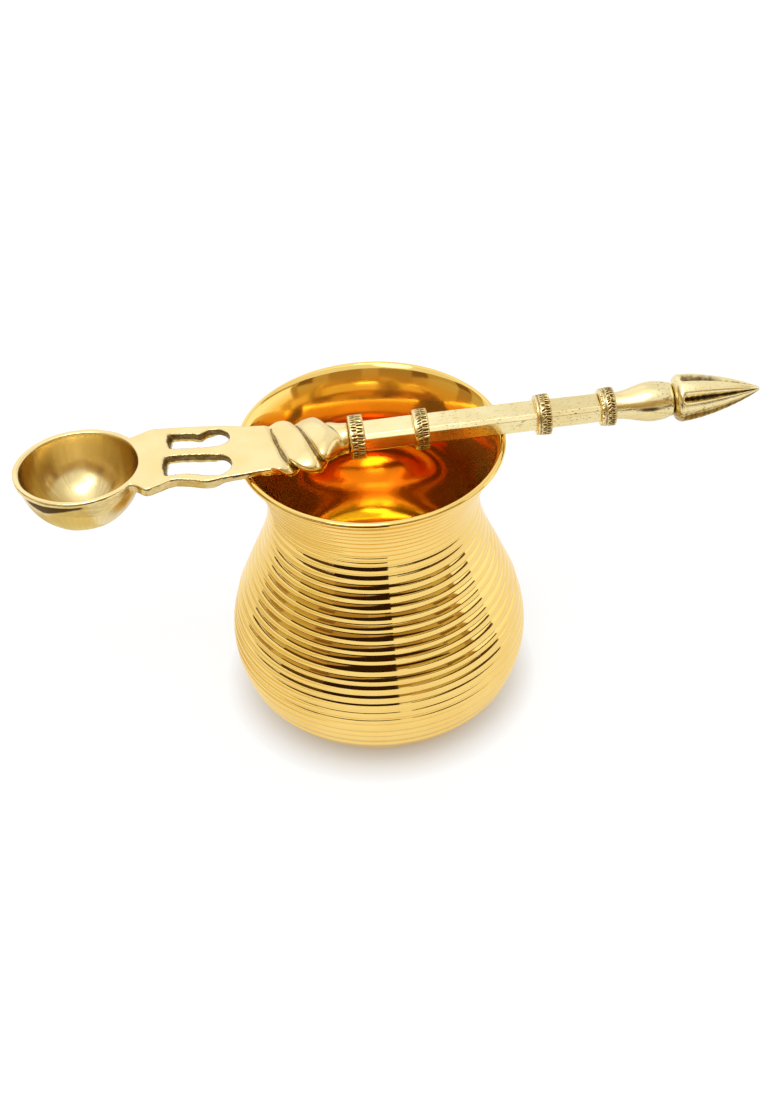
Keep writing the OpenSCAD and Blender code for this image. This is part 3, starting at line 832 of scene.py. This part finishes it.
def rod_rings():
    """Spigot, bar, spigot: the bar's section is carried along s and thins a little towards the bud.
    Two scored lines go round the bar, and a slow and a quick waver show the file."""
    section = rounded(rod_corners(), ROD_CORNER)
    turn = np.arctan2(section[:, 1], section[:, 0])
    peg = SPIGOT_R * np.stack([np.cos(turn), np.sin(turn)], -1)
    bar_s = np.linspace(ROD_START, ROD_END, 300)
    thin = 1 - ROD_THINNER * ease((bar_s - collar_at["outer_collar"]) / 4)
    bar = section * thin[:, None, None]
    first_peg = [ROOT_END - SPIGOT_SEAT + 0.1, ROD_START]
    last_peg = [ROD_END, ROD_END + COLLAR_W + FINIAL_LEN + SPIGOT_SEAT]
    places = np.concatenate([first_peg, bar_s, last_peg])
    outline = np.concatenate([[peg, peg], bar, [peg, peg]])
    s, t, n = np.broadcast_arrays(places[:, None], outline[..., 0], outline[..., 1])
    handmade = 1 + 0.012 * waver(s, t, n, length=12, seed=5) + 0.006 * waver(s, t, n, length=4, seed=6)
    handmade = handmade - SCORE_DEPTH * sum(np.exp(-((s - at) / SCORE_W) ** 2) for at in SCORED_AT)
    return np.stack([s, t * handmade, n * handmade], -1)


rod_points, rod_faces = stack(rod_rings())
s, t, n = rod_points.T
outward = ease((s - collar_at["inner_collar"]) / 6)
last_stretch = ease((s - collar_at["outer_collar"]) / 3)
corners = ease((np.abs(t) - PITTED_T) / 0.6) * ease(n / PITTED_N)
pitting = (0.25 + 0.65 * corners) * mix(0.6 * outward, 1, last_stretch)
make_piece("spoon_rod", on_rim(s, t, n), rod_faces, "spoon", "handle_rod", "spoon_brass", handle_brass,
           groove=np.zeros(len(s)), pitting=pitting, grain=rod_points,
           aged=0.1 * outward + 0.15 * last_stretch)

# %% [markdown]
# ## The roped collars
#
# Each collar is a ring with a plain flank on the bowl's side and a face that was struck all round with a
# chisel, in two columns of strokes that lean against each other. Every stroke is a small bell-shaped cut
# with a place, a lean and a force of its own, because a hand did it.

# %% Ring and chisel
COLLAR_D = {"root_collar": 10.6, "inner_collar": 9.8, "outer_collar": 9.8, "end_collar": 9.3}
PLAIN_FLANK = {"root_collar": 0.12, "inner_collar": 0.2, "outer_collar": 0.34, "end_collar": 0.42}
LEFT_STROKES, RIGHT_STROKES, LEFT_FORCE = 39, 44, 0.7
STROKE_DEPTH, STROKE_W, SLANT = 0.45, 0.27, 0.35
DULL = {"root_collar": 0.08, "inner_collar": 0.13, "outer_collar": 0.15, "end_collar": 0.2}


def polar_radius(corners, angle):
    """Distance from the middle of a polygon to its outline in a direction: the nearest side decides."""
    sides = np.roll(corners, -1, 0) - corners
    normal = np.stack([sides[:, 1], -sides[:, 0]], -1) / np.linalg.norm(sides, axis=1, keepdims=True)
    reach = (normal * corners).sum(1)
    facing = np.cos(angle)[:, None] * normal[:, 0] + np.sin(angle)[:, None] * normal[:, 1]
    return np.where(facing > 1e-6, reach / np.maximum(facing, 1e-6), np.inf).min(1)


def chisel(a, column, count, lean, rng):
    """Depth from 0 to 1 of a row of chisel cuts round the ring. Each has a place, a lean and a force of its
    own, and a bell-shaped section; where cuts meet, the deeper one counts."""
    pitch = 2 * math.pi / count
    place = (np.arange(count) + rng.uniform(-0.42, 0.42, count)) * pitch
    slope = lean * rng.uniform(-0.8, 2.2, count) * pitch
    force = rng.uniform(0.15, 1.0, count)
    off = a[None, :, None] - place - slope * (column[:, :, None] - 0.5)
    off = (off + math.pi) % (2 * math.pi) - math.pi
    return (force * np.exp(-(off / (STROKE_W * pitch)) ** 2)).max(-1)


def collar_rings(node, seed, sides=420, steps=40):
    """Rows across the struck face, then down the flank, along the bore and up the other flank.
    Face radius: the collar's, less rounded edges, less the strokes, which start behind the plain flank."""
    a = full_turn(sides)
    x = np.linspace(-1, 1, steps)[:, None]
    rng = np.random.default_rng(seed)
    full = COLLAR_D[node] / 2
    start = 2 * PLAIN_FLANK[node] - 1
    middle = (start + 1) / 2 - 0.12
    column = np.where(x < middle, (x - start) / (middle - start), (x - middle) / (1 - middle))
    left = chisel(a, column, LEFT_STROKES, -SLANT, rng)
    right = chisel(a, column, RIGHT_STROKES, SLANT, rng)
    struck = STROKE_DEPTH * np.where(x < middle, LEFT_FORCE * left, right)
    struck = struck * np.sqrt(np.clip(np.sin(math.pi * column), 0, 1))
    edge = 0.35 * (1 - np.sqrt(np.clip(1 - np.clip((np.abs(x) - 0.82) / 0.18, 0, 1) ** 2, 0, 1)))
    plain = 0.12 * (1 - ease((x - start + 0.3) / 0.6))
    face = full - edge - plain - struck
    on_bar = node in ("inner_collar", "outer_collar")
    bore = polar_radius(rod_corners(BRAZE), a) if on_bar else np.full(sides, BORE_R)
    radius = np.concatenate([face, np.broadcast_to(bore, (2, sides))])
    s = collar_at[node] + COLLAR_W / 2 * np.concatenate([x[:, 0], [1, -1]])[:, None]
    return turned_rings(s, radius, a)


# %% Four collars
for seed, node in enumerate(COLLARS):
    points, faces = stack(collar_rings(node, 20 + 2 * seed), closed=True)
    groove = hollow(points, faces, rounds=12, depth=0.10)
    s, t, n = points.T
    struck = ease(((s - collar_at[node]) / COLLAR_W + 0.5 - PLAIN_FLANK[node]) / 0.2)
    make_piece(f"spoon_{node}", on_rim(s, t, n), faces, "spoon", node, "collar_brass", collar_brass,
               groove=groove + DULL[node] * struck, pitting=0.5 * struck, grain=points,
               aged=mix(0.1, 0.6, struck))

# %% [markdown]
# ## Baluster and bud
#
# The handle ends in a turned baluster and a pointed bud. The baluster is a profile round the spoon's axis,
# with a bore for the rod. The bud is more: six petals, parted by grooves that start behind the shoulder and
# die out at the tip. Its rings shrink with a power of the length, and in every ring the radius dips at the
# grooves, steeply on one side and slowly on the other, as a chisel held aslant leaves them.

# %% Baluster
BALUSTER_SMALL, BALUSTER_FULL, WAIST, FULL_AT = 6.4, 9.6, 6.1, 0.65
BALUSTER_RING, RING_AT, RING_W = 0.22, 0.965, 0.018
# A dark crescent on the baluster: partly a painted reflection of something dark, partly tarnish.
CRESCENT_AT, CRESCENT_LEN, CRESCENT_TURN, CRESCENT_SPREAD, CRESCENT_DARK = 8, 3.4, 167, 8, 0.75
BALUSTER_AT = ROD_END + COLLAR_W
BUD_AT = BALUSTER_AT + FINIAL_LEN


def baluster_rings(sides=120, steps=90):
    """A swelling line up to the fullest place, then a quarter ellipse in to the waist with a fine ring on it,
    and back along the bore."""
    v = np.linspace(0, 1, steps)
    swell = mix(BALUSTER_SMALL, BALUSTER_FULL, ease(v / FULL_AT))
    inward = np.clip((v - FULL_AT) / (1 - FULL_AT), 0, 1)
    radius = np.where(v < FULL_AT, swell, mix(WAIST, BALUSTER_FULL, np.sqrt(1 - inward ** 2))) / 2
    radius = radius + BALUSTER_RING * np.exp(-((v - RING_AT) / RING_W) ** 2)
    radius = np.append(radius, [BORE_R, BORE_R])[:, None]
    s = BALUSTER_AT + FINIAL_LEN * np.concatenate([v, [1, 0]])[:, None]
    s, t, n = np.moveaxis(turned_rings(s, radius, full_turn(sides)), -1, 0)
    handmade = 1 + 0.012 * waver(s, t, n, length=6, seed=8)
    return np.stack([s, t * handmade, n * handmade], -1)


points, faces = stack(baluster_rings(), closed=True)
s, t, n = points.T
at_ends = ease((BALUSTER_AT + 1.2 - s) / 1.2) + ease((s - BUD_AT + 1.0) / 1.0)
# The crescent, painted reflection with some tarnish in it, goes into the tarnish field.
round_axis = np.degrees(np.arctan2(n, t)) % 360
crescent_s, crescent_turn = (s - BALUSTER_AT - CRESCENT_AT) / CRESCENT_LEN, (round_axis - CRESCENT_TURN) / CRESCENT_SPREAD
reflection_and_tarnish = CRESCENT_DARK * np.exp(-crescent_s ** 2 - crescent_turn ** 2)
# A little age all over; towards the baluster's underside it grows into painted shade.
make_piece("spoon_baluster", on_rim(s, t, n), faces, "spoon", "baluster", "spoon_brass", handle_brass,
           groove=np.maximum(0.3 * at_ends, reflection_and_tarnish), pitting=0.15 + 0.6 * ease((s - BUD_AT + 6) / 4),
           grain=points, aged=0.1 + 0.4 * ease((1 - n) / 4))

# %% Petalled bud
BUD_LEN, BUD_D, PETALS, PETAL_GROOVE = 21.2, 11.4, 6, 0.42
BUD_SHOULDER, BUD_TIP = 0.09, 0.35
PETAL_TURN = math.radians(32)
PETAL_STEEP, PETAL_SLOW = 0.16, 0.36


def petal_cut(past):
    """Groove between two petals, 1 at its bottom: steep on one side and long on the other."""
    return np.clip(np.maximum(1 - past / PETAL_STEEP, 1 - (1 - past) / PETAL_SLOW), 0, 1)


def bud_rings(sides=240, steps=150):
    """Blind bore first, then from the waist to the tip. The radius rises over a round shoulder and falls
    with a power of the length; grooves cut it where the petals meet, deepest behind the shoulder."""
    v = np.linspace(0, 1, steps)[:, None]
    a = full_turn(sides)[None, :]
    shoulder = mix(WAIST, BUD_D, np.sqrt(np.clip(1 - (1 - v / BUD_SHOULDER) ** 2, 0, 1))) / 2
    fall = np.clip((v - BUD_SHOULDER) / (1 - BUD_SHOULDER), 0, 1)
    tapered = mix(BUD_TIP, BUD_D / 2, (1 - fall ** 1.6) ** 0.9)
    radius = np.where(v < BUD_SHOULDER, shoulder, tapered)
    cut = petal_cut(PETALS * a / (2 * math.pi) % 1)
    starting = ease((v - BUD_SHOULDER + 0.02) / 0.07)
    ending = mix(1.0, 0.75, ease((v - 0.2) / 0.8)) * (1 - ease((v - 0.93) / 0.07))
    radius = radius * (1 - PETAL_GROOVE * starting * ending * cut ** 1.4)
    radius = np.concatenate([np.full((2, sides), BORE_R), radius])
    s = BUD_AT + np.concatenate([[[SPIGOT_SEAT + BRAZE], [0.0]], BUD_LEN * v])
    return turned_rings(s, radius, a + PETAL_TURN)


# %% Tarnish of the bud, and its darker underside
BELOW_FROM, BELOW_TO, BELOW_DARK, BELOW_DARKER = 174, 300, 0.4, 0.9
UPPER_TURN, UPPER_SPREAD = 82, 13

points, faces = stack(bud_rings())
s, t, n = points.T
past = PETALS * (np.arctan2(n, t) - PETAL_TURN) / (2 * math.pi) % 1
uneven = 0.75 + 0.3 * waver(s, t, n, length=1.8, seed=41)
cut = petal_cut(past)
groove = uneven * (0.45 * ease(2 * cut - 0.2) + 0.5 * ease(2 * cut - 1.1)) * ease((s - BUD_AT - 3) / 1.2)
groove = np.maximum(groove, hollow(points, faces, rounds=25, depth=0.16))
round_axis = np.degrees(np.arctan2(n, t)) % 360
# The bud's underside is darker, and more pitted.
below = ease((round_axis - BELOW_FROM) / 14) * ease((BELOW_TO - round_axis) / 30)
groove = np.maximum(groove, BELOW_DARK * below * (0.8 + 0.4 * waver(s, t, n, length=1.1, seed=43)))
upper = np.exp(-((round_axis - UPPER_TURN) / UPPER_SPREAD) ** 2)
upper = upper * ease((s - BUD_AT - 1.5) / 1) * ease((BUD_AT + 15 - s) / 6)
groove = np.maximum(groove, mix(0.5, 0.6, uneven) * upper)
make_piece("spoon_bud", on_rim(s, t, n), faces, "spoon", "bud_finial", "spoon_brass", handle_brass,
           groove=groove, pitting=mix(0.3, 0.8, below), grain=points, aged=BELOW_DARKER * below)

# %% [markdown]
# ## Table and light
#
# Polished metal shows the room, so the room is most of its look. The cup stands on a white table in a white
# room. Low dark cards stand in front, on the camera's side; the ribs turn them into thin dark lines. Higher
# up a ring of warm walls and curtains makes the brown and yellow patches inside the flared lip. All of them
# show in the metal only, so they cast no shade on the table.
#
# The table is white paper that takes the shadow. The camera and the metal also see it glow a little, which
# brings it up to white without more light on the brass; in the crevice under the cup the glow is darkened to
# a painted warm contact shadow. Of the four lamps, one in front lights the spoon, a higher one puts the hot
# spot into the bottom of the cup, a wide one overhead fills, and one behind lights the far edges.

# %% Paper and card
def flat_card(name, corners, material):
    """A flat shape through its corners, in metres. It belongs to the stage."""
    mesh = new_mesh(name, np.array(corners, float), np.arange(len(corners))[None, :])
    mesh.materials.append(material)
    card = add_object(name, mesh)
    return card


# The crevice colour is a painted warm contact shadow in the table's glow.
PAPER, OPEN, PAINTED_CONTACT_SHADOW = (0.98, 0.98, 0.98, 1), (1, 1, 1, 1), (0.42, 0.31, 0.18, 1)
CONTACT_SHADOW_REACH, GLOW_SHARE = 0.009, 0.7


def stage_material(name):
    """A material with no shader yet. Returns material, tree and the socket that takes the shader."""
    material = bpy.data.materials.new(name)
    material.use_nodes = True
    tree = material.node_tree
    tree.nodes.remove(tree.nodes["Principled BSDF"])
    return material, tree, tree.nodes["Material Output"].inputs["Surface"]


def seen_by_camera_or_metal(tree):
    """1 for light that goes to the camera or to a mirror, and 0 for light that falls on something."""
    path = add_node(tree, "ShaderNodeLightPath")
    return math_node(tree, "MAXIMUM", path.outputs["Is Camera Ray"], path.outputs["Is Glossy Ray"])


def table_white():
    """White paper that takes the shadow. To the camera and in the metal it also glows, up to white in the
    open; in the crevice under the cup the glow is darkened to a painted warm contact shadow."""
    material, tree, surface = stage_material("table_white")
    paper = add_node(tree, "ShaderNodeBsdfDiffuse", Color=PAPER)
    open_sky = add_node(tree, "ShaderNodeAmbientOcclusion", Distance=CONTACT_SHADOW_REACH).outputs["AO"]
    glow = add_node(tree, "ShaderNodeEmission", Color=blend(tree, open_sky, PAINTED_CONTACT_SHADOW, OPEN), Strength=1.0)
    share = math_node(tree, "MULTIPLY", seen_by_camera_or_metal(tree), GLOW_SHARE)
    mixed = add_node(tree, "ShaderNodeMixShader", _0=share, _1=paper.outputs[0], _2=glow.outputs[0])
    tree.links.new(mixed.outputs[0], surface)
    return material


def card_colour(name, colour):
    """A card that gives off one colour and reflects nothing."""
    material, tree, surface = stage_material(name)
    glow = add_node(tree, "ShaderNodeEmission", Color=colour, Strength=1.0)
    tree.links.new(glow.outputs[0], surface)
    return material


def upright(start, end, low, high):
    """Corners of a card that stands between two places. It has a lowest and a highest height at each."""
    return [(*start, low[0]), (*end, low[1]), (*end, high[1]), (*start, high[0])]


def around(degrees, distance):
    """A place on a circle round the cup. Zero degrees is in front of it, and more is to the right."""
    turn = math.radians(degrees)
    return distance * math.sin(turn), -distance * math.cos(turn)


# %% Table and cards
TABLE = 4.0
table_corners = [(-TABLE, -TABLE, 0), (TABLE, -TABLE, 0), (TABLE, TABLE, 0), (-TABLE, TABLE, 0)]
flat_card("table", table_corners, table_white())
PAINTS = {
    "dark": (0.03, 0.012, 0.003), "umber": (0.10, 0.05, 0.015), "russet": (0.24, 0.12, 0.035),
    "brown": (0.44, 0.28, 0.09), "tan": (0.58, 0.40, 0.15), "ochre": (0.64, 0.50, 0.20),
    "straw": (0.85, 0.74, 0.42), "bright": (1.25, 1.25, 1.25),
}
paints = {name: card_colour(f"card_{name}", (*colour, 1)) for name, colour in PAINTS.items()}
CARDS = {
    "card_front": ("dark", upright((-0.092, -0.1), (0.0075, -0.1), (0.025, 0.025), (0.064, 0.090))),
    "card_above": ("dark", upright((0.0075, -0.1), (0.075, -0.085), (0.062, 0.056), (0.085, 0.064))),
    "card_side": ("umber", upright((-0.2, -0.05), (-0.092, -0.1), (0.025, 0.025), (0.066, 0.062))),
    "card_left": ("umber", upright((-0.40, 0.18), (-0.28, -0.25), (0.03, 0.02), (0.07, 0.05))),
    "card_right": ("umber", upright((0.09, -0.38), (0.37, -0.03), (0.025, 0.012), (0.05, 0.09))),
    "window": ("bright", upright((0.5, -0.25), (0.5, 0.35), (0.0, 0.0), (0.35, 0.35))),
    "card_table": ("straw", [(-0.06, -0.1, 0.0005), (-0.06, 0.06, 0.0005), (-0.12, 0.06, 0.0005),
                             (-0.12, -0.1, 0.0005)]),
}

# %% Ring of walls and curtains
ROOM, SEGMENTS, SEGMENT_TURN, FIRST_TURN = 0.55, 15, 15, -120
WALL_LOW, WALL_HIGH, CURTAIN_HIGH = 0.1, 0.26, 0.46
BROWN_WALLS, TAN_WALLS = (1, 5, 6, 7, 8, 12), (4, 9)
RUSSET_CURTAINS, BROWN_CURTAINS = (1, 4, 11), (5, 6, 8, 9)
for number in range(SEGMENTS):
    turn = FIRST_TURN + SEGMENT_TURN * number
    start, end = around(turn, ROOM), around(turn + SEGMENT_TURN, ROOM)
    wall = "brown" if number in BROWN_WALLS else "tan" if number in TAN_WALLS else "ochre"
    CARDS[f"wall_{number}"] = (wall, upright(start, end, (WALL_LOW,) * 2, (WALL_HIGH,) * 2))
    curtain = "russet" if number in RUSSET_CURTAINS else "brown" if number in BROWN_CURTAINS else "tan"
    CARDS[f"curtain_{number}"] = (curtain, upright(start, end, (WALL_HIGH,) * 2, (CURTAIN_HIGH,) * 2))
for name, (paint, corners) in CARDS.items():
    card = flat_card(name, corners, paints[paint])
    card.visible_camera = False
    card.visible_diffuse = False
    card.visible_shadow = False
print("stage: table,", ", ".join(CARDS))


# %% Lamps and room
def soft_lamp(name, place, aim, size, watts):
    """A round soft box that looks at a point."""
    lamp = add_object(name, bpy.data.lights.new(name, "AREA"))
    lamp.data.shape = "DISK"
    lamp.data.size = size
    lamp.data.energy = watts
    lamp.location = place
    lamp.rotation_euler = (Vector(place) - Vector(aim)).to_track_quat("Z", "Y").to_euler()


soft_lamp("lamp_front", (-0.26, -0.41, 0.73), (-0.03, 0, 0.07), size=0.35, watts=0.75)
soft_lamp("lamp_top", (-0.05, -0.235, 0.8), (0, 0, 0.03), size=0.24, watts=0.95)
soft_lamp("lamp_over", (0, -0.1, 1.0), (0, 0, 0.07), size=1.0, watts=0.7)
soft_lamp("lamp_back", (-0.3, 0.65, 0.6), (0, 0, 0.07), size=0.9, watts=0.4)

ROOM_LIGHT = 0.99
world = bpy.data.worlds.new("white_room")
bpy.context.scene.world = world
world.use_nodes = True
tree = world.node_tree
seen = seen_by_camera_or_metal(tree)
strength = add_node(tree, "ShaderNodeMapRange", Value=seen, To_Min=ROOM_LIGHT, To_Max=1.0)
tree.nodes["Background"].inputs["Color"].default_value = (1, 1, 1, 1)
tree.links.new(strength.outputs["Result"], tree.nodes["Background"].inputs["Strength"])
print("four soft lamps in a", world.name)
